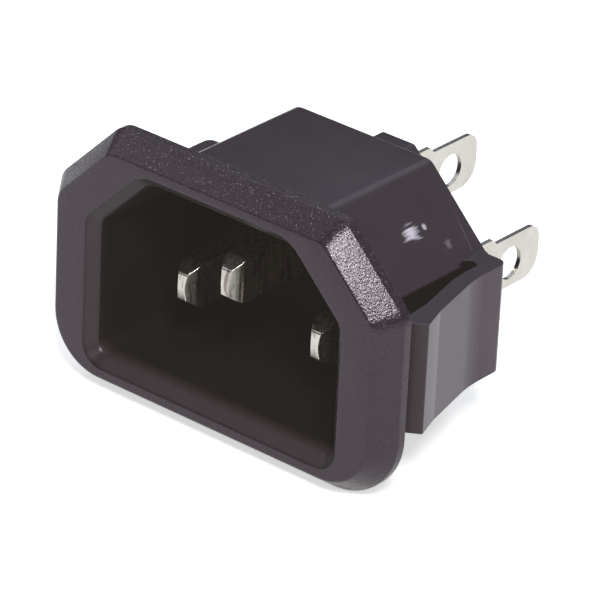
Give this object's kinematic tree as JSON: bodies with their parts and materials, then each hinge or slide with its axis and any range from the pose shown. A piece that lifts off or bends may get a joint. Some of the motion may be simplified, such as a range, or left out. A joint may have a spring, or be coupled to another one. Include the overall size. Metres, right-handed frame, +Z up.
{
  "type": "c14 panel inlet socket",
  "caption": "Snap-in panel inlet for a detachable mains lead: bevelled flange, shrouded pins, spring wings and flat solder tails with wire eyes.",
  "frame": {"origin": "centre of the flange's rear face, on the front surface of the panel", "axes": "+X to the right seen from the front, +Y back into the equipment through the panel cut-out, +Z up"},
  "size_m": [0.036, 0.0331, 0.0232],
  "materials": {
    "housing_plastic": "fine spark-eroded grain on the flange, smooth elsewhere",
    "contact_metal": "dull tin plate"
  },
  "bodies": {
    "root": {"housing": "housing_plastic", "earth_contact": "contact_metal", "line_contact": "contact_metal", "neutral_contact": "contact_metal"}
  },
  "joints": []
}
